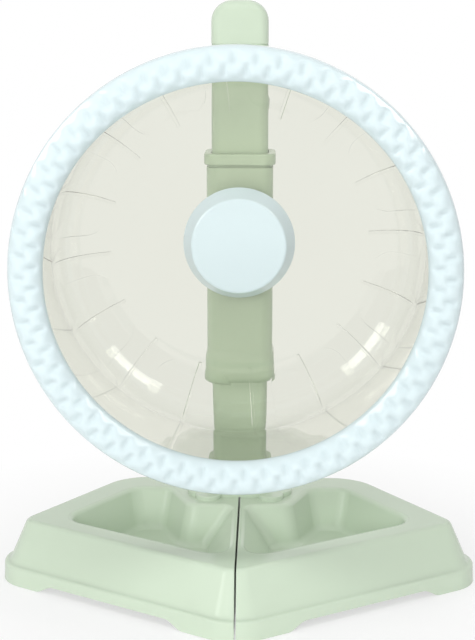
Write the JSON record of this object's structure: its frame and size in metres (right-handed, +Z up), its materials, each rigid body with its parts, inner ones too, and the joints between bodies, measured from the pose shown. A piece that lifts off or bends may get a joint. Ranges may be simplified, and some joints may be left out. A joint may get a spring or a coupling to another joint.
{
  "type": "rodent exercise wheel",
  "caption": "Clear-drum rodent exercise wheel with a quilted rim, turning on a ball bearing on a height-adjustable post above a base of removable feeding bowls.",
  "frame": {"origin": "on the floor, under the middle of the base", "axes": "+Z up along the post, +Y from the wheel's open mouth towards the post, +X to the right as seen from the mouth"},
  "size_m": [0.25, 0.165, 0.3005],
  "materials": {
    "green_plastic": "glossy moulded plastic, pale sage green",
    "ice_plastic": "glossy moulded plastic, pale ice blue",
    "clear_plastic": "clear moulded plastic with a faint warm tint",
    "bolt_steel": "zinc-plated steel",
    "bearing_steel": "ground bearing steel",
    "insert_brass": "plain turned brass",
    "pad_rubber": "matte black rubber"
  },
  "bodies": {
    "stand": {"column": "green_plastic", "column_cap": "green_plastic", "foot_plate": "green_plastic"},
    "carriage": {"sleeve": "green_plastic", "axle_bolt": "bolt_steel", "axle_spacer": "bolt_steel", "axle_washer": "bolt_steel", "axle_nut": "bolt_steel", "bearing_inner_race": "bearing_steel", "bearing_ball_ring": "bearing_steel", "knob_insert": "insert_brass"},
    "clamp": {"clamp_pad": "pad_rubber"},
    "knob": {"lock_knob": "green_plastic", "knob_stud": "bolt_steel"},
    "wheel": {"drum": "clear_plastic", "rim_ring": "ice_plastic", "hub_housing": "ice_plastic", "bearing_outer_race": "bearing_steel", "hub_cap": "ice_plastic"},
    "right_bowl": {"bowl_right": "green_plastic"},
    "left_bowl": {"bowl_left": "green_plastic"}
  },
  "joints": [
    {"name": "height_slide", "type": "slide", "parent": "stand", "child": "carriage", "axis": [0, 0, 1], "range_m": [-0.035, 0.055]},
    {"name": "wheel_spin", "type": "hinge", "parent": "carriage", "child": "wheel", "pos_m": [0, 0, 0.176], "axis": [0, 1, 0], "continuous": true},
    {"name": "pad_slide", "type": "slide", "parent": "carriage", "child": "clamp", "axis": [0, 1, 0], "range_m": [0, 0.001]},
    {"name": "knob_turn", "type": "hinge", "parent": "clamp", "child": "knob", "pos_m": [0, 0.0715, 0.142], "axis": [0, 1, 0], "range_deg": [0, 360]},
    {"name": "right_bowl_lift", "type": "slide", "parent": "stand", "child": "right_bowl", "axis": [0, 0, 1], "range_m": [-0.02, 0]},
    {"name": "left_bowl_lift", "type": "slide", "parent": "stand", "child": "left_bowl", "axis": [0, 0, 1], "range_m": [-0.02, 0]}
  ],
  "couplings": [
    {"joint": "pad_slide", "follows": "knob_turn", "m_per_rad": 0.00015915}
  ]
}
